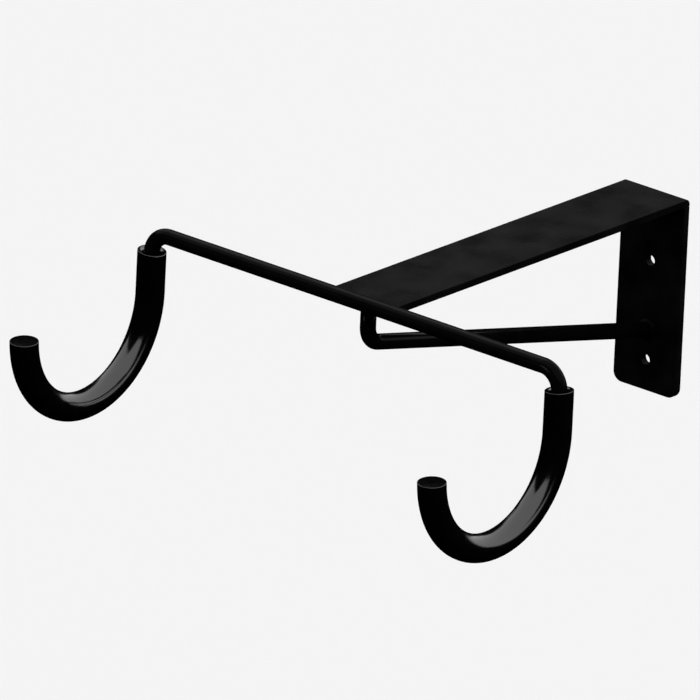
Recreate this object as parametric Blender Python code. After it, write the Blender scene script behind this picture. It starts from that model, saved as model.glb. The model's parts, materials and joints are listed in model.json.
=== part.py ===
"""Wall rack that holds one bicycle by its top tube.

A flat bar arm stands out from a wall plate. A round rod, bent into a crossbar and two J hooks, is
welded across the arm's end, and a brace of the same rod props the arm from below. Black vinyl
sleeves cover the hooks.

Metres, +Z up. The origin is the middle of the wall plate's back face, the wall is the plane Y = 0,
and the rack reaches out along -Y with +X to the right.
"""

import math

import bmesh
import bpy
from mathutils import Matrix, Vector

# Stock: one size of round rod and one size of flat bar.
ROD_DIAMETER = 0.010
BAR_WIDTH = 0.050
BAR_THICKNESS = 0.005

# Overall sizes.
REACH = 0.287                      # wall to the crossbar's axis
HOOK_SPACING = 0.326               # between the axes of the two hooks
PLATE_HEIGHT = 0.131               # arm's top face to the wall plate's lower end

# Crossbar and hooks. Radii are those of the rod's axis.
CROSSBAR_SINK = 0.0005             # rod's lowest line below the arm's underside
SHANK_BEND_RADIUS = 0.0135
HOOK_DROP = 0.039                  # crossbar's axis to the centre of the hook's bend
HOOK_RADIUS = 0.0585
HOOK_ANGLE = math.radians(176)

# Sleeves.
SLEEVE_WALL = 0.004
SLEEVE_CAP = 0.0018                # closed end beyond the rod's tip
SLEEVE_WRAP = math.radians(5.5)    # how far the sleeve follows the bend above the shank
SLEEVE_TIP_ROUND = 0.0010
SLEEVE_RIM_ROUND = 0.0015

# Brace.
LEG_INSET = 0.0027                 # arm's end to the side of the brace's leg
KNEE_DROP = 0.0305                 # arm's top face to the crossing of the leg and the long run
FOOT_ABOVE_HOLE = 0.0195           # lower screw hole to the long run's axis at the wall plate
BRACE_BEND_RADIUS = 0.0125

# Wall plate and arm.
HOLE_DIAMETER = 0.0070
HOLE_SPACING = 0.065
LOWER_HOLE_HEIGHT = 0.020          # above the plate's lower end
SCREW_SEAT = 0.018                 # height of the flat face that a screw's head or washer bears on
PLATE_CORNER_RADIUS = 0.0065
ARM_CORNER_RADIUS = 0.0035         # top edge over the wall
EDGE_ROUND = 0.0005

# Welds.
BAR_WELD_LEG = 0.0035
BAR_WELD_MARGIN = 0.002            # bead's end to the side of the bar
TOP_BEAD_ANGLE = math.radians(50)  # how far up the back of the crossbar the top bead reaches
GROOVE_ROOT_ANGLE = math.radians(35)
GROOVE_FACE_ANGLE = math.radians(68)
BRACE_WELD_LEG = 0.0024
WELD_CROWN = 0.62                  # share of both legs at the middle of a bead's face

CLEARANCE = 0.0003                 # between pieces that touch

# Facets.
ROD_SIDES = 20
HOOK_STEPS = 20
BEND_STEPS = 6
CORNER_STEPS = 6
HOLE_SIDES = 32
BEAD_STEPS = 4

# Places that follow from the sizes above.
ROD_RADIUS = ROD_DIAMETER / 2
ARM_TOP = PLATE_HEIGHT / 2
ARM_UNDERSIDE = ARM_TOP - BAR_THICKNESS
PLATE_BOTTOM = ARM_TOP - PLATE_HEIGHT
PLATE_FACE = -BAR_THICKNESS
CROSSBAR_Z = ARM_UNDERSIDE - CROSSBAR_SINK + ROD_RADIUS
# How far the crossbar's widest line stands above the arm's flat end.
CROSSBAR_RISE = max(0.0, CROSSBAR_Z - (ARM_TOP - EDGE_ROUND))
ARM_END = -REACH + math.sqrt(ROD_RADIUS ** 2 - CROSSBAR_RISE ** 2) + CLEARANCE
LOWER_HOLE_Z = PLATE_BOTTOM + LOWER_HOLE_HEIGHT
LEG_Y = ARM_END + LEG_INSET + ROD_RADIUS
KNEE = Vector((0, LEG_Y, ARM_TOP - KNEE_DROP))
FOOT = Vector((0, PLATE_FACE, LOWER_HOLE_Z + FOOT_ABOVE_HOLE))

COAT_COLOUR = (0.012, 0.012, 0.013, 1)
COAT_ROUGHNESS = 0.42
SLEEVE_COLOUR = (0.006, 0.006, 0.007, 1)
SLEEVE_ROUGHNESS = 0.22
SMOOTH_ANGLE = math.radians(35)


def clear_scene():
    for item in list(bpy.data.objects):
        bpy.data.objects.remove(item, do_unlink=True)


def principled(name, colour, roughness):
    material = bpy.data.materials.new(name)
    material.use_nodes = True
    shader = material.node_tree.nodes["Principled BSDF"]
    shader.inputs["Base Color"].default_value = colour
    shader.inputs["Roughness"].default_value = roughness
    shader.inputs["Metallic"].default_value = 0.0
    return material


def black_coat(piece_name):
    return principled(piece_name + "_coat", COAT_COLOUR, COAT_ROUGHNESS)


def black_vinyl(piece_name):
    return principled(piece_name + "_vinyl", SLEEVE_COLOUR, SLEEVE_ROUGHNESS)


def add_piece(name, mesh_builder, material):
    mesh = bpy.data.meshes.new(name)
    mesh_builder.to_mesh(mesh)
    mesh_builder.free()
    mesh.materials.append(material)
    mesh.shade_smooth()
    mesh.set_sharp_from_angle(angle=SMOOTH_ANGLE)
    piece = bpy.data.objects.new(name, mesh)
    bpy.context.scene.collection.objects.link(piece)
    return piece


def circle(frame, radius):
    """Points of a circle in the frame's own XY plane."""
    turns = [2 * math.pi * side / ROD_SIDES for side in range(ROD_SIDES)]
    return [frame @ Vector((radius * math.cos(turn), radius * math.sin(turn), 0)) for turn in turns]


def slide_to_plane(points, direction, plane_point, plane_normal):
    """Carries points along a direction until they lie on a plane."""
    rate = direction.dot(plane_normal)
    return [point + direction * ((plane_point - point).dot(plane_normal) / rate) for point in points]


def add_loops(builder, loops, closed_round):
    """Skins neighbouring loops of points, and caps the two ends or joins them to each other."""
    rows = [[builder.verts.new(point) for point in loop] for loop in loops]
    pairs = list(zip(rows, rows[1:]))
    if closed_round:
        pairs.append((rows[-1], rows[0]))
    else:
        builder.faces.new(list(reversed(rows[0])))
        builder.faces.new(rows[-1])
    for near, far in pairs:
        for side in range(len(near)):
            after = (side + 1) % len(near)
            builder.faces.new((near[side], near[after], far[after], far[side]))


def skinned(loops, closed_round=False):
    builder = bmesh.new()
    add_loops(builder, loops, closed_round)
    return builder


def extruded(profile, left, right):
    """A bar along X with a profile of (y, z) points, listed so that it faces outwards."""
    loops = [[Vector((x, y, z)) for y, z in profile] for x in (left, right)]
    return skinned(loops)


def arc(centre, radius, start, end, steps):
    """Points (a, b) of an arc in a plane."""
    turns = [start + (end - start) * step / steps for step in range(steps + 1)]
    return [(centre[0] + radius * math.cos(turn), centre[1] + radius * math.sin(turn)) for turn in turns]


def frame_facing_down(position):
    """A rod's starting frame: it runs down, with its own X along +X and its own Y along -Y."""
    return Matrix.Translation(position) @ Matrix.Rotation(math.pi, 4, "X")


def run_straight(frames, length):
    frames.append(frames[-1] @ Matrix.Translation((0, 0, length)))


def bend(frames, radius, angle, towards, steps):
    """Bends a rod towards a direction of its own cross-section."""
    start = frames[-1]
    pivot = towards * radius
    axis = Vector((0, 0, 1)).cross(towards)
    for step in range(1, steps + 1):
        turn = Matrix.Rotation(angle * step / steps, 4, axis)
        frames.append(start @ Matrix.Translation(pivot) @ turn @ Matrix.Translation(-pivot))


def hook_tip_frame(hook_x):
    """The rod's frame at a hook's tip, heading back down into the hook."""
    hook_centre = Vector((hook_x, -REACH - HOOK_RADIUS, CROSSBAR_Z - HOOK_DROP))
    swing = Matrix.Rotation(math.pi - HOOK_ANGLE, 4, "X")
    return Matrix.Translation(hook_centre) @ swing @ frame_facing_down((0, -HOOK_RADIUS, 0))


def hook_frames(hook_x):
    """From a hook's tip, round its bend and up its straight shank."""
    frames = [hook_tip_frame(hook_x)]
    bend(frames, HOOK_RADIUS, HOOK_ANGLE, Vector((0, -1, 0)), HOOK_STEPS)
    run_straight(frames, HOOK_DROP - SHANK_BEND_RADIUS)
    return frames


def make_hook_rod():
    """One rod: hook, shank, crossbar, shank, hook."""
    inward = Vector((1, 0, 0))
    frames = hook_frames(-HOOK_SPACING / 2)
    bend(frames, SHANK_BEND_RADIUS, math.pi / 2, inward, BEND_STEPS)
    run_straight(frames, HOOK_SPACING - 2 * SHANK_BEND_RADIUS)
    bend(frames, SHANK_BEND_RADIUS, math.pi / 2, inward, BEND_STEPS)
    run_straight(frames, HOOK_DROP - SHANK_BEND_RADIUS)
    bend(frames, HOOK_RADIUS, HOOK_ANGLE, Vector((0, -1, 0)), HOOK_STEPS)
    loops = [circle(frame, ROD_RADIUS) for frame in frames]
    return add_piece("hook_rod", skinned(loops), black_coat("hook_rod"))


def sleeve_loops(side):
    """Outside of the sleeve from its closed tip to its upper end, then its bore back to the tip."""
    outer = ROD_RADIUS + SLEEVE_WALL
    bore = ROD_RADIUS + CLEARANCE
    frames = hook_frames(side * HOOK_SPACING / 2)
    bend(frames, SHANK_BEND_RADIUS, SLEEVE_WRAP, Vector((-side, 0, 0)), 1)
    tip = frames[0]
    upper = frames[-1]
    tip_edge = arc((outer - SLEEVE_TIP_ROUND, SLEEVE_TIP_ROUND - SLEEVE_CAP), SLEEVE_TIP_ROUND,
                   -math.pi / 2, 0, CORNER_STEPS)
    upper_edge = arc((outer - SLEEVE_RIM_ROUND, -SLEEVE_RIM_ROUND), SLEEVE_RIM_ROUND,
                     0, math.pi / 2, BEAD_STEPS)
    loops = [circle(tip @ Matrix.Translation((0, 0, rise)), radius) for radius, rise in tip_edge]
    loops += [circle(frame, outer) for frame in frames[1:-1]]
    loops += [circle(upper @ Matrix.Translation((0, 0, rise)), radius) for radius, rise in upper_edge]
    loops += [circle(frame, bore) for frame in reversed(frames[1:])]
    loops.append(circle(tip @ Matrix.Translation((0, 0, -CLEARANCE)), bore))
    return loops


def make_hook_sleeve(name, side):
    """Closed tube over one hook; side is -1 for the left hook and 1 for the right one."""
    return add_piece(name, skinned(sleeve_loops(side)), black_vinyl(name))


def brace_frames():
    """From the arm's underside, round the knee and on to the wall plate's face."""
    long_run = FOOT - KNEE
    bend_angle = long_run.angle(Vector((0, 0, -1)))
    bend_length = BRACE_BEND_RADIUS * math.tan(bend_angle / 2)
    leg_top = ARM_UNDERSIDE - CLEARANCE
    frames = [frame_facing_down((0, LEG_Y, leg_top))]
    run_straight(frames, leg_top - KNEE.z - bend_length)
    bend(frames, BRACE_BEND_RADIUS, bend_angle, Vector((0, -1, 0)), BEND_STEPS)
    run_straight(frames, long_run.length - bend_length)
    return frames


def make_brace_rod():
    loops = [circle(frame, ROD_RADIUS) for frame in brace_frames()]
    wall_side = Vector((0, PLATE_FACE - CLEARANCE, 0))
    loops[-1] = slide_to_plane(loops[-1], (FOOT - KNEE).normalized(), wall_side, Vector((0, 1, 0)))
    return add_piece("brace_rod", skinned(loops), black_coat("brace_rod"))


def round_edges(piece):
    modifier = piece.modifiers.new("rounded_edges", "BEVEL")
    modifier.width = EDGE_ROUND
    modifier.segments = 2
    modifier.limit_method = "ANGLE"
    modifier.angle_limit = SMOOTH_ANGLE


def make_arm():
    """Flat bar from over the wall plate to the crossbar."""
    round_centre = (-ARM_CORNER_RADIUS, ARM_TOP - ARM_CORNER_RADIUS)
    profile = [(ARM_END, ARM_UNDERSIDE), (0, ARM_UNDERSIDE)]
    profile += arc(round_centre, ARM_CORNER_RADIUS, 0, math.pi / 2, CORNER_STEPS)
    profile.append((ARM_END, ARM_TOP))
    builder = extruded(profile, -BAR_WIDTH / 2, BAR_WIDTH / 2)
    piece = add_piece("arm", builder, black_coat("arm"))
    round_edges(piece)
    return piece


def plate_outline():
    """The wall plate's front outline in X and Z, with its two rounded lower corners."""
    half = BAR_WIDTH / 2
    top = ARM_UNDERSIDE - CLEARANCE
    radius = PLATE_CORNER_RADIUS
    outline = [(half, top), (-half, top)]
    outline += arc((radius - half, PLATE_BOTTOM + radius), radius, math.pi, 1.5 * math.pi, CORNER_STEPS)
    outline += arc((half - radius, PLATE_BOTTOM + radius), radius, 1.5 * math.pi, 2 * math.pi, CORNER_STEPS)
    return outline


def divide_faces(builder, height):
    """Divides a plate's faces along a level line."""
    geometry = builder.verts[:] + builder.edges[:] + builder.faces[:]
    bmesh.ops.bisect_plane(builder, geom=geometry, plane_co=(0, 0, height), plane_no=(0, 0, 1))


def cut_hole(piece, height):
    """Takes a screw hole through the wall plate along Y."""
    builder = bmesh.new()
    bmesh.ops.create_cone(builder, cap_ends=True, segments=HOLE_SIDES, radius1=HOLE_DIAMETER / 2,
                          radius2=HOLE_DIAMETER / 2, depth=4 * BAR_THICKNESS)
    mesh = bpy.data.meshes.new("screw_hole_cutter")
    builder.to_mesh(mesh)
    builder.free()
    cutter = bpy.data.objects.new("screw_hole_cutter", mesh)
    cutter.rotation_euler = (math.pi / 2, 0, 0)
    cutter.location = (0, PLATE_FACE / 2, height)
    cutter.hide_render = True
    cutter.display_type = "WIRE"
    bpy.context.scene.collection.objects.link(cutter)
    modifier = piece.modifiers.new("screw_hole", "BOOLEAN")
    modifier.operation = "DIFFERENCE"
    modifier.solver = "EXACT"
    modifier.object = cutter


def make_wall_plate():
    hole_heights = (LOWER_HOLE_Z, LOWER_HOLE_Z + HOLE_SPACING)
    loops = [[Vector((x, y, z)) for x, z in plate_outline()] for y in (PLATE_FACE, 0)]
    builder = skinned(loops)
    for height in hole_heights:
        divide_faces(builder, height - SCREW_SEAT / 2)
        divide_faces(builder, height + SCREW_SEAT / 2)
    piece = add_piece("wall_plate", builder, black_coat("wall_plate"))
    round_edges(piece)
    for height in hole_heights:
        cut_hole(piece, height)
    return piece


def make_bar_weld(name, profile):
    """A bead along X across the bar."""
    reach = BAR_WIDTH / 2 - BAR_WELD_MARGIN
    return add_piece(name, extruded(profile, -reach, reach), black_coat(name))


def make_weld_arm_to_plate():
    """Inner corner between the arm's underside and the wall plate."""
    y = PLATE_FACE - CLEARANCE
    z = ARM_UNDERSIDE - CLEARANCE
    crown = BAR_WELD_LEG * WELD_CROWN
    profile = [(y, z), (y - BAR_WELD_LEG, z), (y - crown, z - crown), (y, z - BAR_WELD_LEG)]
    return make_bar_weld("weld_arm_to_plate", profile)


def make_weld_hooks_top():
    """Between the arm's top face and the back of the crossbar."""
    contact_radius = ROD_RADIUS + CLEARANCE
    z = ARM_TOP + CLEARANCE
    start = math.asin((z - CROSSBAR_Z) / contact_radius)
    profile = [(ARM_END + BAR_WELD_LEG, z)]
    profile += arc((-REACH, CROSSBAR_Z), contact_radius, TOP_BEAD_ANGLE, start, BEAD_STEPS)
    return make_bar_weld("weld_hooks_top", profile)


def make_weld_hooks_under():
    """In the groove between the arm's end and the lower back of the crossbar."""
    contact_radius = ROD_RADIUS + CLEARANCE
    groove_wall = ARM_END - CLEARANCE
    root_z = CROSSBAR_Z - contact_radius * math.sin(GROOVE_ROOT_ANGLE)
    profile = [(groove_wall, ARM_UNDERSIDE), (groove_wall, root_z)]
    profile += arc((-REACH, CROSSBAR_Z), contact_radius, -GROOVE_ROOT_ANGLE, -GROOVE_FACE_ANGLE, BEAD_STEPS)
    return make_bar_weld("weld_hooks_under", profile)


def make_ring_weld(name, frame, surface_point, surface_normal):
    """A bead round a rod where it meets a flat surface, whose normal points to the rod's side."""
    along = (frame.to_3x3() @ Vector((0, 0, 1))).normalized()
    crown = BRACE_WELD_LEG * WELD_CROWN
    section = [(0, 0), (0, BRACE_WELD_LEG), (crown, crown), (BRACE_WELD_LEG, 0)]
    if along.dot(surface_normal) > 0:
        section.reverse()
    loops = []
    for out, up in section:
        loop = circle(frame, ROD_RADIUS + CLEARANCE + out)
        level = surface_point + surface_normal * (CLEARANCE + up)
        loops.append(slide_to_plane(loop, along, level, surface_normal))
    return add_piece(name, skinned(loops, closed_round=True), black_coat(name))


def make_weld_brace_to_arm():
    surface_point = Vector((0, LEG_Y, ARM_UNDERSIDE))
    return make_ring_weld("weld_brace_to_arm", brace_frames()[0], surface_point, Vector((0, 0, -1)))


def make_weld_brace_to_plate():
    return make_ring_weld("weld_brace_to_plate", brace_frames()[-1], FOOT, Vector((0, -1, 0)))


def main():
    clear_scene()
    make_arm()
    make_wall_plate()
    make_brace_rod()
    make_hook_rod()
    make_hook_sleeve("hook_sleeve_left", -1)
    make_hook_sleeve("hook_sleeve_right", 1)
    make_weld_arm_to_plate()
    make_weld_hooks_top()
    make_weld_hooks_under()
    make_weld_brace_to_arm()
    make_weld_brace_to_plate()


main()
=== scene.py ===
import json
import math

import bmesh
import bpy
from mathutils import Matrix, Vector

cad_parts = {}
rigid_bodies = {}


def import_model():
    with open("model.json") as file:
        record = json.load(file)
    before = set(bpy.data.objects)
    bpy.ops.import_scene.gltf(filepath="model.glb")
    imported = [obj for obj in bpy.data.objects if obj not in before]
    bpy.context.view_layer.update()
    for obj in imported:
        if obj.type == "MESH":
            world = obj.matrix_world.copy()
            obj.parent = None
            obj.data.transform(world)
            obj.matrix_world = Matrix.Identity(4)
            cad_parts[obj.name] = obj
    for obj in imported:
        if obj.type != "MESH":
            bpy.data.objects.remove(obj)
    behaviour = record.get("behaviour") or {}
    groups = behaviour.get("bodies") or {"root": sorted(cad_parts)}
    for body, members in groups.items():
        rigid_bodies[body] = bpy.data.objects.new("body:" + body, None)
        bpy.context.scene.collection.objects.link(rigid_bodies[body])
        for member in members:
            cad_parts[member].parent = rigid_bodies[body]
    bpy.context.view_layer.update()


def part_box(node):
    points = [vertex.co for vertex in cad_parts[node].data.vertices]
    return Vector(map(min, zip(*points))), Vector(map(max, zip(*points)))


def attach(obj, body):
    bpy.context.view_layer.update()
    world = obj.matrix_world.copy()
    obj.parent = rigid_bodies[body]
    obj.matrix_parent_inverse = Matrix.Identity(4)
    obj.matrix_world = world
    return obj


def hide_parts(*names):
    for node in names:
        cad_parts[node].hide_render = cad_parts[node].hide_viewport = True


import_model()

# Looks of a wall rack that holds one bicycle by its top tube: a flat bar arm on a wall plate, a brace,
# and one bent rod that makes the crossbar and two J hooks, which wear glossy black sleeves. Each piece
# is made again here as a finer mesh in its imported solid's place. Metres, +Z up, and the wall is Y = 0.

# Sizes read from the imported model.
arm_low, arm_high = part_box("arm")
plate_low, plate_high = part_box("wall_plate")
hooks_low, hooks_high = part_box("hook_rod")
brace_low, brace_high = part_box("brace_rod")
ROD_RADIUS = (brace_high.x - brace_low.x) / 2
ARM_TOP = arm_high.z
ARM_UNDERSIDE = arm_low.z
ARM_END = arm_low.y
PLATE_FACE = plate_low.y
HALF_WIDTH = arm_high.x
HOOK_X = hooks_high.x - ROD_RADIUS
CROSSBAR_Y = hooks_high.y - ROD_RADIUS
CROSSBAR_Z = hooks_high.z - ROD_RADIUS
LEG_Y = brace_low.y + ROD_RADIUS

# Bends of the rods, to the rod's axis.
SHANK_BEND_RADIUS = 0.0135
HOOK_DROP = 0.039                  # crossbar's axis to the centre of the hook's bend
HOOK_RADIUS = 0.0585
HOOK_ANGLE = math.radians(176)
KNEE_DROP = 0.0305                 # arm's top face to the crossing of the brace's leg and long run
BRACE_BEND_RADIUS = 0.0125
FOOT_HEIGHT = 0.0395               # wall plate's lower end to the long run's axis at the plate

# Bars.
EDGE_ROUND = 0.0005
HOLE_EDGE_ROUND = 0.00005
CUT_CORNER = 0.0008                # radius of a sawn corner
WELDED_CORNER = 0.00055            # radius of a corner that the weld closes
ARM_CORNER_RADIUS = 0.0035
PLATE_CORNER_RADIUS = 0.0065
HOLE_RADIUS = 0.0035
HOLE_HEIGHTS = (0.020, 0.085)      # above the wall plate's lower end

# Sleeves.
SLEEVE_WALL = 0.004
SLEEVE_GRIP = 0.00005              # bore's radius beyond the rod's
SLEEVE_CAP = 0.0018
SLEEVE_DOME = 0.0003
SLEEVE_WRAP = math.radians(5.5)
SLEEVE_TIP_ROUND = 0.0003
SLEEVE_RIM_ROUND = 0.0003

# Weld beads.
BAR_WELD_LEG = 0.0035
BAR_WELD_MARGIN = 0.002
BRACE_WELD_LEG = 0.0024
TOP_BEAD_ANGLE = math.radians(50)
UNDER_BEAD_ANGLE = math.radians(-68)
WELD_SINK = 0.00015                # how far a bead's back lies inside the steel
WELD_BULGE = 0.00035
RIPPLE_PITCH = 0.0014
RIPPLE_HEIGHT = 0.00022
RIPPLE_SWEEP = 0.0009              # how far the middle of a ripple leads its ends
BEAD_END = 0.25                    # a straight bead's size at its very ends, as a share of its full size

# Mesh fineness.
ROD_SIDES = 64
BEND_STEP = math.radians(3)
CORNER_STEPS = 12
EDGE_STEPS = 4
HOLE_SIDES = 64
CAP_RINGS = 5
BEAD_STEP = 0.0002
BEAD_ROWS = 8

# Roughness of each surface, from its glossiest patches to its dullest.
ROD_SHEEN = (0.13, 0.19)
BAR_SHEEN = (0.20, 0.38)
WELD_SHEEN = (0.26, 0.36)
VINYL_SHEEN = (0.11, 0.17)

# Greys of each surface, from its darkest patches to its palest. Rods and bars wear one coat: the bars'
# paler greys are painted light for the lit arm top, and the rods' darker greys are painted shade.
ROD_SHADED_TONES = (0.0020, 0.0036)
BAR_LIT_TONES = (0.0020, 0.0085)
WELD_TONES = (0.0014, 0.0025)
VINYL_TONES = (0.0015, 0.0025)
BLUE_TINT = 1.04                   # blue of the coat's and the vinyl's greys, as a share of their red

# Textures: a size is how far apart a noise's features are, and a depth is how far its bumps reach.
NOISE_LOW = 0.3                    # most of a noise's values lie between these two
NOISE_HIGH = 0.7
COAT_REFLECTION = 0.025
PATCH_SIZE = 0.020
PATCH_RANGE = (0.30, 0.72)         # noise values of the darkest patches and of the palest
PEEL_SIZE = 0.0016
PEEL_DEPTH = 0.00003
GRAIN_SIZE = 0.0004
GRAIN_DEPTH = 0.000004
WORN_WIDTH = 0.0007
WORN_GREY = 0.006
WORN_SMOOTHING = 0.10              # how much roughness a fully worn edge loses
WEAR_SIZE = 0.006
LEAST_WEAR = 0.2                   # wear of the least worn edges, as a share of the most worn
EDGE_RAYS = 4
FLAT_COSINE = 0.995                # smoothed against true normal, where an edge starts
EDGE_COSINE = 0.90                 # and where it is wholly an edge
WELD_PATCH_SIZE = 0.004
WELD_GRAIN_SIZE = 0.0007
WELD_GRAIN_DEPTH = 0.00005
VINYL_REFLECTION = 0.9
WAVE_SIZE = 0.012
WAVE_DEPTH = 0.00012
SMUDGE_SIZE = 0.007
SCUFF_SIZE = 0.0012
SCUFF_RANGE = (0.62, 0.75)         # noise values where a scuff starts and where it is strongest
SCUFF_DULLING = 0.06               # how much roughness a scuff adds

# Floor, far under the rack.
FLOOR_PLACE = (0, -0.2, -0.9)
FLOOR_RADIUS = 40
FLOOR_SIDES = 96
FLOOR_GREY = 0.965
FLOOR_ROUGHNESS = 0.9

# The pale ceiling that the sleeves mirror. Its lengths are shares of its height, right is +X and forward
# is -Y. Its front edge has a V cut out of it, with the V's point straight ahead.
BACKDROP = 0.913                   # what the camera sees in place of the ceiling
CEILING_LIGHT = 1.22
V_POINT = 0.68                     # forward
V_LEFT_SLOPE = 0.18
V_RIGHT_SLOPE = 0.9
V_RIGHT_DEPTH = 0.70
FRONT_FADE = 0.16
CEILING_LEFT = -2.9
LEFT_FADE = 0.8
CEILING_RIGHT = 2.25
RIGHT_FADE = 0.5
BACK_STRIP = -1.1                  # forward; behind it the ceiling has no right edge
BACK_STRIP_FADE = 0.4
LOWEST_RISE = 0.02                 # keeps the shares finite at the horizon
HORIZON = 0.06                     # height in a direction of length one, where the ceiling fades out
HORIZON_FADE = 0.12
FLAG_DIRECTION = (-0.637, 0.683, 0.358)
FLAG_COSINE = 0.95                 # of the angle from the flag's middle to its edge
FLAG_FADE = 0.04

# Lamps, which light only the coated steel, and camera.
KEY_DIRECTION = Vector((-0.595, 0.358, 0.719))
KEY_LIGHT = 0.45
KEY_SPREAD = math.radians(36)
BACK_DIRECTION = Vector((-0.604, 0.720, 0.342))
BACK_LIGHT = 0.036
BACK_SPREAD = math.radians(30)
FRONT_DIRECTION = Vector((-0.399, -0.897, 0.191))
FRONT_LIGHT = 0.45
FRONT_SPREAD = math.radians(16)
RIM_DIRECTION = Vector((-0.681, 0.730, 0.052))
RIM_LIGHT = 0.012
RIM_SPREAD = math.radians(10)
CAMERA_AZIMUTH = math.radians(39.594)
CAMERA_ELEVATION = math.radians(20.605)
CAMERA_ROLL = math.radians(2.727)
CAMERA_LENS = 1600
CAMERA_DISTANCE = 18.951
CAMERA_NEAR = 0.1
CAMERA_FAR = 200
CAMERA_AIM = Vector((-0.02870, -0.25534, 0.01704))


def add_piece(name, builder, node, material):
    """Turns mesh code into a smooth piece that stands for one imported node."""
    mesh = bpy.data.meshes.new(name)
    builder.to_mesh(mesh)
    builder.free()
    mesh.materials.append(material)
    mesh.shade_smooth()
    piece = bpy.data.objects.new(name, mesh)
    bpy.context.scene.collection.objects.link(piece)
    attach(piece, "root")
    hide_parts(node)
    return piece


# Mesh building blocks.

def join_loops(builder, near, far):
    for side in range(len(near)):
        after = (side + 1) % len(near)
        builder.faces.new((near[side], near[after], far[after], far[side]))


def skinned(loops, closed_round=False):
    """Skins neighbouring loops of points, and caps the two ends or joins them to each other."""
    builder = bmesh.new()
    rows = [[builder.verts.new(point) for point in loop] for loop in loops]
    for near, far in zip(rows, rows[1:]):
        join_loops(builder, near, far)
    if closed_round:
        join_loops(builder, rows[-1], rows[0])
    else:
        builder.faces.new(list(reversed(rows[0])))
        builder.faces.new(rows[-1])
    return builder


def circle(frame_at, radius, sides=ROD_SIDES):
    turns = [2 * math.pi * side / sides for side in range(sides)]
    return [frame_at @ Vector((radius * math.cos(turn), radius * math.sin(turn), 0)) for turn in turns]


def arc(centre, radius, start, end, steps):
    turns = [start + (end - start) * step / steps for step in range(steps + 1)]
    return [(centre[0] + radius * math.cos(turn), centre[1] + radius * math.sin(turn)) for turn in turns]


# Rods follow a list of frames: each frame's own Z points along the rod.

def frame_facing_down(position):
    return Matrix.Translation(position) @ Matrix.Rotation(math.pi, 4, "X")


def run_straight(frames, length):
    frames.append(frames[-1] @ Matrix.Translation((0, 0, length)))


def bend(frames, radius, angle, towards):
    start = frames[-1]
    pivot = towards * radius
    axis = Vector((0, 0, 1)).cross(towards)
    steps = max(2, math.ceil(angle / BEND_STEP))
    for step in range(1, steps + 1):
        turn = Matrix.Rotation(angle * step / steps, 4, axis)
        frames.append(start @ Matrix.Translation(pivot) @ turn @ Matrix.Translation(-pivot))


def hook_frames(hook_x):
    """From a hook's tip, round its bend and up its straight shank."""
    hook_centre = Vector((hook_x, CROSSBAR_Y - HOOK_RADIUS, CROSSBAR_Z - HOOK_DROP))
    swing = Matrix.Rotation(math.pi - HOOK_ANGLE, 4, "X")
    frames = [Matrix.Translation(hook_centre) @ swing @ frame_facing_down((0, -HOOK_RADIUS, 0))]
    bend(frames, HOOK_RADIUS, HOOK_ANGLE, Vector((0, -1, 0)))
    run_straight(frames, HOOK_DROP - SHANK_BEND_RADIUS)
    return frames


def make_hook_rod():
    inward = Vector((1, 0, 0))
    frames = hook_frames(-HOOK_X)
    bend(frames, SHANK_BEND_RADIUS, math.pi / 2, inward)
    run_straight(frames, 2 * HOOK_X - 2 * SHANK_BEND_RADIUS)
    bend(frames, SHANK_BEND_RADIUS, math.pi / 2, inward)
    run_straight(frames, HOOK_DROP - SHANK_BEND_RADIUS)
    bend(frames, HOOK_RADIUS, HOOK_ANGLE, Vector((0, -1, 0)))
    loops = [circle(frame_at, ROD_RADIUS) for frame_at in frames]
    # The rod's coat takes the darker greys of the one coat: painted shade.
    coat = powder_coat("hook_rod_coat", ROD_SHEEN, ROD_SHADED_TONES)
    rod = add_piece("bent_hook_rod", skinned(loops), "hook_rod", coat)
    rod.visible_glossy = False


def sleeve_loops(side):
    """The closed tip from its middle, the outside up to the rim, then the bore back to the tip."""
    outer = ROD_RADIUS + SLEEVE_WALL
    bore = ROD_RADIUS + SLEEVE_GRIP
    flat = outer - SLEEVE_TIP_ROUND
    frames = hook_frames(side * HOOK_X)
    bend(frames, SHANK_BEND_RADIUS, SLEEVE_WRAP, Vector((-side, 0, 0)))
    tip = frames[0]
    upper = frames[-1]
    section = []
    for ring in range(1, CAP_RINGS):
        share = ring / CAP_RINGS
        section.append((flat * share, -SLEEVE_CAP - SLEEVE_DOME * (1 - share * share)))
    section += arc((flat, SLEEVE_TIP_ROUND - SLEEVE_CAP), SLEEVE_TIP_ROUND, -math.pi / 2, 0, CORNER_STEPS)
    rim = arc((outer - SLEEVE_RIM_ROUND, -SLEEVE_RIM_ROUND), SLEEVE_RIM_ROUND, 0, math.pi / 2, CORNER_STEPS)
    loops = [circle(tip @ Matrix.Translation((0, 0, rise)), radius) for radius, rise in section]
    loops += [circle(frame_at, outer) for frame_at in frames[1:-1]]
    loops += [circle(upper @ Matrix.Translation((0, 0, rise)), radius) for radius, rise in rim]
    loops += [circle(frame_at, bore) for frame_at in reversed(frames)]
    return loops


def make_sleeve(side, node):
    builder = skinned(sleeve_loops(side))
    sleeve = add_piece(node + "_vinyl", builder, node, glossy_vinyl(node))
    sleeve.visible_glossy = False


def brace_frames():
    knee = Vector((0, LEG_Y, ARM_TOP - KNEE_DROP))
    foot = Vector((0, PLATE_FACE, plate_low.z + FOOT_HEIGHT))
    long_run = foot - knee
    bend_angle = long_run.angle(Vector((0, 0, -1)))
    bend_length = BRACE_BEND_RADIUS * math.tan(bend_angle / 2)
    frames = [frame_facing_down((0, LEG_Y, ARM_UNDERSIDE))]
    run_straight(frames, ARM_UNDERSIDE - knee.z - bend_length)
    bend(frames, BRACE_BEND_RADIUS, bend_angle, Vector((0, -1, 0)))
    run_straight(frames, long_run.length - bend_length)
    return frames


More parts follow.
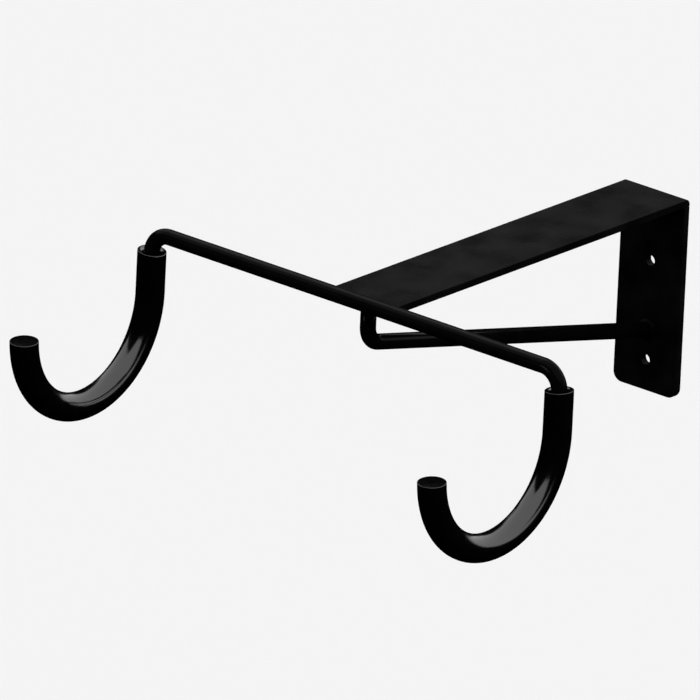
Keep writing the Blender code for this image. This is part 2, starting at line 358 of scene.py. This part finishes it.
def slide_to_plane(points, direction, plane_point, plane_normal):
    """Moves each point along one direction until it lies in a plane."""
    rate = direction.dot(plane_normal)
    return [point + direction * ((plane_point - point).dot(plane_normal) / rate) for point in points]


def make_brace():
    frames = brace_frames()
    loops = [circle(frame_at, ROD_RADIUS) for frame_at in frames]
    along = (frames[-1].to_3x3() @ Vector((0, 0, 1))).normalized()
    loops[-1] = slide_to_plane(loops[-1], along, Vector((0, PLATE_FACE, 0)), Vector((0, 1, 0)))
    # The brace's coat takes the darker greys of the one coat: painted shade.
    coat = powder_coat("brace_coat", ROD_SHEEN, ROD_SHADED_TONES)
    add_piece("bent_brace_rod", skinned(loops), "brace_rod", coat)


# Bars are rounded rectangles in a plane, carried along the third axis with all edges eased.

def rounded_rectangle(low, high, radii, inset):
    """Outline from the lower left corner on; radii go lower left, lower right, upper right, upper left."""
    corners = [(low[0], low[1]), (high[0], low[1]), (high[0], high[1]), (low[0], high[1])]
    inwards = [(1, 1), (-1, 1), (-1, -1), (1, -1)]
    outline = []
    for turn, (corner, inward, radius) in enumerate(zip(corners, inwards, radii)):
        centre = (corner[0] + inward[0] * radius, corner[1] + inward[1] * radius)
        start = math.pi + turn * math.pi / 2
        outline += arc(centre, radius - inset, start, start + math.pi / 2, CORNER_STEPS)
    return outline


def eased_edge(near, far, radius):
    """(inset, depth) pairs that round a bar's two rims between the near and the far face."""
    turns = [math.pi / 2 * step / EDGE_STEPS for step in range(EDGE_STEPS + 1)]
    rim = [(radius * (1 - math.sin(turn)), radius * (1 - math.cos(turn))) for turn in turns]
    front = [(inset, near + depth) for inset, depth in rim]
    back = [(inset, far - depth) for inset, depth in reversed(rim)]
    return front + back


def hole_border(centre):
    """A hole's outline for any inset, which widens it. It runs the opposite way round to a bar's."""
    def border_at(inset):
        return arc(centre, HOLE_RADIUS + inset, 2 * math.pi, 0, HOLE_SIDES)[:-1]

    return border_at


def loop_edges(builder, loop):
    return [builder.edges.get((vert, after)) for vert, after in zip(loop, loop[1:] + loop[:1])]


def bar_with_holes(outline_at, holes, place, near, far):
    """Closed mesh of a flat bar; place turns (across, up, depth) into a point."""
    builder = bmesh.new()
    near_edges = []
    far_edges = []
    borders = [(outline_at, EDGE_ROUND)] + [(hole_border(hole), HOLE_EDGE_ROUND) for hole in holes]
    for border_at, edge_radius in borders:
        rows = []
        for inset, depth in eased_edge(near, far, edge_radius):
            rows.append([builder.verts.new(place(across, up, depth)) for across, up in border_at(inset)])
        for first, second in zip(rows, rows[1:]):
            join_loops(builder, first, second)
        near_edges += loop_edges(builder, rows[0])
        far_edges += loop_edges(builder, rows[-1])
    for edges in (near_edges, far_edges):
        bmesh.ops.triangle_fill(builder, use_beauty=True, use_dissolve=False, edges=edges)
    bmesh.ops.recalc_face_normals(builder, faces=builder.faces)
    return builder


def keep_flats_flat(piece):
    modifier = piece.modifiers.new("flat_faces", "WEIGHTED_NORMAL")
    modifier.keep_sharp = True


def make_arm():
    radii = (CUT_CORNER, WELDED_CORNER, ARM_CORNER_RADIUS, CUT_CORNER)

    def outline_at(inset):
        return rounded_rectangle((ARM_END, ARM_UNDERSIDE), (0, ARM_TOP), radii, inset)

    def place(along, up, across):
        return Vector((across, along, up))

    builder = bar_with_holes(outline_at, [], place, -HALF_WIDTH, HALF_WIDTH)
    # The arm's coat takes the paler greys of the one coat: painted light on its top.
    coat = powder_coat("arm_coat", BAR_SHEEN, BAR_LIT_TONES)
    keep_flats_flat(add_piece("flat_bar_arm", builder, "arm", coat))


def make_wall_plate():
    radii = (PLATE_CORNER_RADIUS, PLATE_CORNER_RADIUS, WELDED_CORNER, WELDED_CORNER)
    holes = [(0, plate_low.z + height) for height in HOLE_HEIGHTS]

    def outline_at(inset):
        return rounded_rectangle((-HALF_WIDTH, plate_low.z), (HALF_WIDTH, ARM_UNDERSIDE), radii, inset)

    def place(across, up, depth):
        return Vector((across, depth, up))

    builder = bar_with_holes(outline_at, holes, place, PLATE_FACE, 0)
    # The plate's coat takes the paler greys of the one coat: painted light.
    coat = powder_coat("plate_coat", BAR_SHEEN, BAR_LIT_TONES)
    keep_flats_flat(add_piece("drilled_wall_plate", builder, "wall_plate", coat))


# Weld beads: a section is the bead's root inside the corner, then its rippled face from foot to foot.

def bead_face(first_foot, second_foot, outwards, travel, strength=1.0):
    """The bulging outside of a bead, where travel is how far along the bead it lies.

    The crown is 0 at both feet and 1 halfway between them.
    """
    face = []
    for row in range(BEAD_ROWS + 1):
        share = row / BEAD_ROWS
        crown = 4 * share * (1 - share)
        ripple = abs(math.sin(math.pi * (travel + RIPPLE_SWEEP * crown) / RIPPLE_PITCH))
        rise = crown * (WELD_BULGE + RIPPLE_HEIGHT * (ripple - 1)) * strength
        face.append(first_foot.lerp(second_foot, share) + outwards * rise)
    return face


def make_bar_bead(name, node, root, first_foot, second_foot):
    """A bead along X; root and feet are (y, z) places in the corner that it fills."""
    half = HALF_WIDTH - BAR_WELD_MARGIN
    stations = math.ceil(2 * half / BEAD_STEP)
    first = Vector((0, *first_foot))
    second = Vector((0, *second_foot))
    corner = Vector((0, *root))
    outwards = ((first + second) / 2 - corner).normalized()
    loops = []
    for station in range(stations + 1):
        along = -half + 2 * half * station / stations
        margin = half - abs(along)
        roundness = math.sqrt(1 - max(0, 1 - margin / BAR_WELD_LEG) ** 2)
        fullness = roundness * (1 - BEAD_END) + BEAD_END
        place = Vector((along, 0, 0))
        near = corner.lerp(first, fullness)
        far = corner.lerp(second, fullness)
        face = bead_face(near, far, outwards, along, fullness)
        loops.append([point + place for point in [corner - outwards * WELD_SINK] + face])
    builder = skinned(loops)
    bmesh.ops.recalc_face_normals(builder, faces=builder.faces)
    add_piece(name, builder, node, coated_weld(name + "_coat"))


def make_bar_beads():
    corner = (PLATE_FACE + WELD_SINK, ARM_UNDERSIDE + WELD_SINK)
    on_arm = (PLATE_FACE - BAR_WELD_LEG, ARM_UNDERSIDE + WELD_SINK)
    on_plate = (PLATE_FACE + WELD_SINK, ARM_UNDERSIDE - BAR_WELD_LEG)
    make_bar_bead("bead_arm_to_plate", "weld_arm_to_plate", corner, on_arm, on_plate)
    reach = ROD_RADIUS - WELD_SINK
    upper = (CROSSBAR_Y + reach * math.cos(TOP_BEAD_ANGLE),
             CROSSBAR_Z + reach * math.sin(TOP_BEAD_ANGLE))
    make_bar_bead("bead_hooks_top", "weld_hooks_top", (ARM_END, ARM_TOP - WELD_SINK),
                  (ARM_END + BAR_WELD_LEG, ARM_TOP - WELD_SINK), upper)
    under = (CROSSBAR_Y + reach * math.cos(UNDER_BEAD_ANGLE),
             CROSSBAR_Z + reach * math.sin(UNDER_BEAD_ANGLE))
    make_bar_bead("bead_hooks_under", "weld_hooks_under", (ARM_END, CROSSBAR_Z - ROD_RADIUS / 2),
                  (ARM_END + WELD_SINK, ARM_UNDERSIDE), under)


def make_ring_bead(name, node, frame_at, surface_point, surface_normal):
    """A bead round a rod where it meets a flat face, whose normal points to the rod's side."""
    along = (frame_at.to_3x3() @ Vector((0, 0, 1))).normalized()
    girth = 2 * math.pi * (ROD_RADIUS + BRACE_WELD_LEG / 2)
    sides = math.ceil(girth / BEAD_STEP)
    pitches = round(girth / RIPPLE_PITCH)

    def ring(radius, level):
        plane_point = surface_point + surface_normal * level
        return slide_to_plane(circle(frame_at, radius, sides), along, plane_point, surface_normal)

    roots = ring(ROD_RADIUS - WELD_SINK, -WELD_SINK)
    outer_feet = ring(ROD_RADIUS + BRACE_WELD_LEG, -WELD_SINK)
    upper_feet = ring(ROD_RADIUS - WELD_SINK, BRACE_WELD_LEG)
    loops = []
    for side in range(sides):
        travel = RIPPLE_PITCH * pitches * side / sides
        root, first, second = roots[side], outer_feet[side], upper_feet[side]
        outwards = ((first + second) / 2 - root).normalized()
        loops.append([root] + bead_face(first, second, outwards, travel))
    builder = skinned(loops, closed_round=True)
    bmesh.ops.recalc_face_normals(builder, faces=builder.faces)
    add_piece(name, builder, node, coated_weld(name + "_coat"))


def make_ring_beads():
    frames = brace_frames()
    top = Vector((0, LEG_Y, ARM_UNDERSIDE))
    foot = Vector((0, PLATE_FACE, plate_low.z + FOOT_HEIGHT))
    make_ring_bead("bead_brace_to_arm", "weld_brace_to_arm", frames[0], top, Vector((0, 0, -1)))
    make_ring_bead("bead_brace_to_plate", "weld_brace_to_plate", frames[-1], foot, Vector((0, -1, 0)))


# Materials.

def plug(tree, socket, value):
    """Links a node's output to a socket, or sets the socket to a plain value."""
    if isinstance(value, bpy.types.NodeSocket):
        tree.links.new(value, socket)
    else:
        socket.default_value = value


def math_node(tree, operation, *values):
    made = tree.nodes.new("ShaderNodeMath")
    made.operation = operation
    for socket, value in zip(made.inputs, values):
        plug(tree, socket, value)
    return made.outputs[0]


class Shader:
    """A Principled material, with short ways to add the nodes that feed it."""

    def __init__(self, name):
        self.material = bpy.data.materials.new(name)
        self.material.use_nodes = True
        self.tree = self.material.node_tree
        self.principled = self.tree.nodes["Principled BSDF"]
        self.place = self.tree.nodes.new("ShaderNodeTexCoord").outputs["Object"]

    def set(self, socket, value):
        self.principled.inputs[socket].default_value = value

    def feed(self, socket, output):
        self.tree.links.new(output, self.principled.inputs[socket])

    def node(self, kind, **inputs):
        """Adds a node; an input's name is given with _ for each space in it."""
        made = self.tree.nodes.new(kind)
        for socket, value in inputs.items():
            plug(self.tree, made.inputs[socket.replace("_", " ")], value)
        return made

    def noise(self, size, detail=2.0, roughness=0.5):
        """Noise whose features are about size metres across."""
        made = self.node("ShaderNodeTexNoise", Vector=self.place, Scale=1 / size, Detail=detail,
                         Roughness=roughness)
        return made.outputs["Fac"]

    def span(self, value, low, high, start=NOISE_LOW, end=NOISE_HIGH):
        """Maps start..end of a value on to low..high."""
        made = self.node("ShaderNodeMapRange", Value=value, From_Min=start, From_Max=end, To_Min=low,
                         To_Max=high)
        return made.outputs["Result"]

    def blend(self, factor, first, second):
        """Mixes two colours; a Mix node keeps its colours in sockets 6 and 7 and their mix in output 2."""
        made = self.tree.nodes.new("ShaderNodeMix")
        made.data_type = "RGBA"
        for socket, value in ((0, factor), (6, first), (7, second)):
            plug(self.tree, made.inputs[socket], value)
        return made.outputs[2]

    def combine(self, operation, first, second):
        """Adds, subtracts or multiplies two values, kept between 0 and 1."""
        combined = math_node(self.tree, operation, first, second)
        combined.node.use_clamp = True
        return combined

    def bump(self, height, distance, below=None):
        made = self.node("ShaderNodeBump", Height=height, Distance=distance)
        if below is not None:
            self.tree.links.new(below, made.inputs["Normal"])
        return made.outputs["Normal"]


def grey(level):
    return (level, level, level * BLUE_TINT, 1)


def edge_mask(shader, radius):
    """1 on edges that the coat is thin on, 0 on flats."""
    soft = shader.node("ShaderNodeBevel", Radius=radius)
    soft.samples = EDGE_RAYS
    true = shader.tree.nodes.new("ShaderNodeNewGeometry")
    dot = shader.tree.nodes.new("ShaderNodeVectorMath")
    dot.operation = "DOT_PRODUCT"
    shader.tree.links.new(soft.outputs["Normal"], dot.inputs[0])
    shader.tree.links.new(true.outputs["Normal"], dot.inputs[1])
    return shader.span(dot.outputs["Value"], 1.0, 0.0, EDGE_COSINE, FLAT_COSINE)


def powder_coat(name, sheen, tones):
    """Satin black powder coat: orange peel, slight patches of gloss, edges rubbed smoother.

    sheen is the (lowest, highest) roughness of its patches, and tones their (darkest, palest) greys, which
    on bars and rods carry painted light and painted shade.
    """
    shader = Shader(name)
    patches = shader.noise(PATCH_SIZE, detail=4.0)
    peel = shader.noise(PEEL_SIZE, detail=3.0)
    grain = shader.noise(GRAIN_SIZE, detail=1.0)
    edges = edge_mask(shader, WORN_WIDTH)
    wear = shader.span(shader.noise(WEAR_SIZE, detail=4.0), LEAST_WEAR, 1.0)
    worn = shader.combine("MULTIPLY", edges, wear)
    paleness = shader.span(patches, 0.0, 1.0, *PATCH_RANGE)
    coat = shader.blend(paleness, grey(tones[0]), grey(tones[1]))
    shader.feed("Base Color", shader.blend(worn, coat, grey(WORN_GREY)))
    rough = shader.span(patches, *sheen)
    smoothing = shader.span(worn, 0.0, WORN_SMOOTHING, 0.0, 1.0)
    shader.feed("Roughness", shader.combine("SUBTRACT", rough, smoothing))
    shader.feed("Normal", shader.bump(grain, GRAIN_DEPTH, shader.bump(peel, PEEL_DEPTH)))
    shader.set("Specular IOR Level", COAT_REFLECTION)
    return shader.material


def coated_weld(name):
    """The same coat over a bead: darker than on rod or bar, in smaller patches, with a coarser grain."""
    shader = Shader(name)
    patches = shader.noise(WELD_PATCH_SIZE, detail=3.0)
    paleness = shader.span(patches, 0.0, 1.0)
    shader.feed("Base Color", shader.blend(paleness, grey(WELD_TONES[0]), grey(WELD_TONES[1])))
    shader.feed("Roughness", shader.span(patches, *WELD_SHEEN))
    grain = shader.noise(WELD_GRAIN_SIZE, detail=4.0)
    shader.feed("Normal", shader.bump(grain, WELD_GRAIN_DEPTH))
    shader.set("Specular IOR Level", COAT_REFLECTION)
    return shader.material


def glossy_vinyl(name):
    """Soft black vinyl with a wet gloss, faintly wavy, with small dull scuffs."""
    shader = Shader(name + "_vinyl")
    waves = shader.noise(WAVE_SIZE)
    smudges = shader.noise(SMUDGE_SIZE, detail=4.0)
    scuffs = shader.span(shader.noise(SCUFF_SIZE, detail=6.0, roughness=0.7), 0.0, 1.0, *SCUFF_RANGE)
    paleness = shader.span(waves, 0.0, 1.0)
    shader.feed("Base Color", shader.blend(paleness, grey(VINYL_TONES[0]), grey(VINYL_TONES[1])))
    rough = shader.span(smudges, *VINYL_SHEEN)
    dulling = shader.span(scuffs, 0.0, SCUFF_DULLING, 0.0, 1.0)
    shader.feed("Roughness", shader.combine("ADD", rough, dulling))
    shader.feed("Normal", shader.bump(waves, WAVE_DEPTH))
    shader.set("Specular IOR Level", VINYL_REFLECTION)
    return shader.material


# Stage, light and camera.

def make_floor():
    """A wide pale floor, which neither shows in the rack's gloss nor throws light on it."""
    builder = bmesh.new()
    bmesh.ops.create_circle(builder, cap_ends=True, segments=FLOOR_SIDES, radius=FLOOR_RADIUS)
    mesh = bpy.data.meshes.new("floor")
    builder.to_mesh(mesh)
    builder.free()
    floor = bpy.data.objects.new("floor", mesh)
    floor.location = FLOOR_PLACE
    bpy.context.scene.collection.objects.link(floor)
    shader = Shader("pale_floor")
    shader.set("Base Color", (FLOOR_GREY, FLOOR_GREY, FLOOR_GREY, 1))
    shader.set("Roughness", FLOOR_ROUGHNESS)
    mesh.materials.append(shader.material)
    floor.visible_glossy = False
    floor.visible_diffuse = False


def soft_step(tree, value, edge, width, rising=True):
    """0 to 1 as a value passes an edge, or 1 to 0."""
    made = tree.nodes.new("ShaderNodeMapRange")
    made.interpolation_type = "SMOOTHSTEP"
    plug(tree, made.inputs["Value"], value)
    plug(tree, made.inputs["From Min"], edge - width / 2)
    plug(tree, made.inputs["From Max"], edge + width / 2)
    plug(tree, made.inputs["To Min"], 0.0 if rising else 1.0)
    plug(tree, made.inputs["To Max"], 1.0 if rising else 0.0)
    return made.outputs["Result"]


def inside_front_edge(tree, right, forward):
    """1 behind the ceiling's front edge, which runs back to the V's point from either side."""
    left_side = math_node(tree, "MINIMUM", right, 0.0)
    left_edge = math_node(tree, "MULTIPLY_ADD", left_side, -V_LEFT_SLOPE, V_POINT)
    right_side = math_node(tree, "MAXIMUM", right, 0.0)
    right_slope = math_node(tree, "MULTIPLY", right_side, V_RIGHT_SLOPE)
    right_edge = math_node(tree, "MINIMUM", right_slope, V_RIGHT_DEPTH)
    front_edge = math_node(tree, "ADD", left_edge, right_edge)
    past_edge = math_node(tree, "SUBTRACT", forward, front_edge)
    return soft_step(tree, past_edge, 0.0, FRONT_FADE, rising=False)


def outside_flag(tree, direction):
    """0 on the dark flag behind the arm, 1 elsewhere."""
    towards_flag = tree.nodes.new("ShaderNodeVectorMath")
    towards_flag.operation = "DOT_PRODUCT"
    tree.links.new(direction, towards_flag.inputs[0])
    towards_flag.inputs[1].default_value = FLAG_DIRECTION
    return soft_step(tree, towards_flag.outputs["Value"], FLAG_COSINE, FLAG_FADE, rising=False)


def ceiling_strength(tree):
    """Light from each direction: the pale ceiling with soft edges, and nothing where it ends."""
    direction = tree.nodes.new("ShaderNodeTexCoord").outputs["Generated"]
    split = tree.nodes.new("ShaderNodeSeparateXYZ")
    tree.links.new(direction, split.inputs[0])
    rise = math_node(tree, "MAXIMUM", split.outputs["Z"], LOWEST_RISE)
    right = math_node(tree, "DIVIDE", split.outputs["X"], rise)
    backward = math_node(tree, "DIVIDE", split.outputs["Y"], rise)
    forward = math_node(tree, "MULTIPLY", backward, -1.0)
    inside_front = inside_front_edge(tree, right, forward)
    inside_left = soft_step(tree, right, CEILING_LEFT, LEFT_FADE)
    inside_right = soft_step(tree, right, CEILING_RIGHT, RIGHT_FADE, rising=False)
    in_back_strip = soft_step(tree, forward, BACK_STRIP, BACK_STRIP_FADE, rising=False)
    inside_sides = math_node(tree, "MAXIMUM", inside_right, in_back_strip)
    above = soft_step(tree, split.outputs["Z"], HORIZON, HORIZON_FADE)
    off_flag = outside_flag(tree, direction)
    strength = math_node(tree, "MULTIPLY", inside_front, inside_left)
    for part in (inside_sides, above, off_flag):
        strength = math_node(tree, "MULTIPLY", strength, part)
    return math_node(tree, "MULTIPLY", strength, CEILING_LIGHT)


def make_world():
    """The camera sees an even backdrop, and the rack is lit by the ceiling."""
    world = bpy.data.worlds.new("studio")
    bpy.context.scene.world = world
    world.use_nodes = True
    tree = world.node_tree
    tree.nodes.clear()
    output = tree.nodes.new("ShaderNodeOutputWorld")
    ceiling = tree.nodes.new("ShaderNodeBackground")
    ceiling.inputs["Color"].default_value = (1, 1, 1, 1)
    tree.links.new(ceiling_strength(tree), ceiling.inputs["Strength"])
    plain = tree.nodes.new("ShaderNodeBackground")
    plain.inputs["Color"].default_value = (BACKDROP, BACKDROP, BACKDROP, 1)
    path = tree.nodes.new("ShaderNodeLightPath")
    choice = tree.nodes.new("ShaderNodeMixShader")
    tree.links.new(path.outputs["Is Camera Ray"], choice.inputs[0])
    tree.links.new(ceiling.outputs[0], choice.inputs[1])
    tree.links.new(plain.outputs[0], choice.inputs[2])
    tree.links.new(choice.outputs[0], output.inputs["Surface"])
    bpy.context.scene.view_settings.view_transform = "Standard"


def make_lamp(name, direction, energy, spread, receivers):
    """A far round lamp that lights only the pieces in one collection."""
    data = bpy.data.lights.new(name, "SUN")
    data.energy = energy
    data.angle = spread
    lamp = bpy.data.objects.new(name, data)
    lamp.rotation_mode = "QUATERNION"
    lamp.rotation_quaternion = direction.to_track_quat("Z", "Y")
    bpy.context.scene.collection.objects.link(lamp)
    lamp.light_linking.receiver_collection = receivers


def make_lamps():
    """Four soft lamps on the coated steel: high, lower and lowest on the back left, and one in front."""
    coated = bpy.data.collections.new("coated_steel")
    for piece in bpy.context.scene.objects:
        if piece.type == "MESH" and "vinyl" not in piece.name and piece.name != "floor":
            coated.objects.link(piece)
    make_lamp("key_lamp", KEY_DIRECTION, KEY_LIGHT, KEY_SPREAD, coated)
    make_lamp("back_lamp", BACK_DIRECTION, BACK_LIGHT, BACK_SPREAD, coated)
    make_lamp("front_lamp", FRONT_DIRECTION, FRONT_LIGHT, FRONT_SPREAD, coated)
    make_lamp("rim_lamp", RIM_DIRECTION, RIM_LIGHT, RIM_SPREAD, coated)


def make_camera():
    data = bpy.data.cameras.new("camera")
    data.lens = CAMERA_LENS
    data.clip_start = CAMERA_NEAR
    data.clip_end = CAMERA_FAR
    camera = bpy.data.objects.new("camera", data)
    bpy.context.scene.collection.objects.link(camera)
    level = math.cos(CAMERA_ELEVATION)
    back = Vector((math.sin(CAMERA_AZIMUTH) * level, -math.cos(CAMERA_AZIMUTH) * level,
                   math.sin(CAMERA_ELEVATION)))
    upright = (-back).to_track_quat("-Z", "Y").to_matrix()
    rolled = upright @ Matrix.Rotation(CAMERA_ROLL, 3, "Z")
    camera.matrix_world = Matrix.Translation(CAMERA_AIM + back * CAMERA_DISTANCE) @ rolled.to_4x4()
    bpy.context.scene.camera = camera


make_arm()
make_wall_plate()
make_brace()
make_hook_rod()
make_sleeve(-1, "hook_sleeve_left")
make_sleeve(1, "hook_sleeve_right")
make_bar_beads()
make_ring_beads()
make_floor()
make_world()
make_lamps()
make_camera()
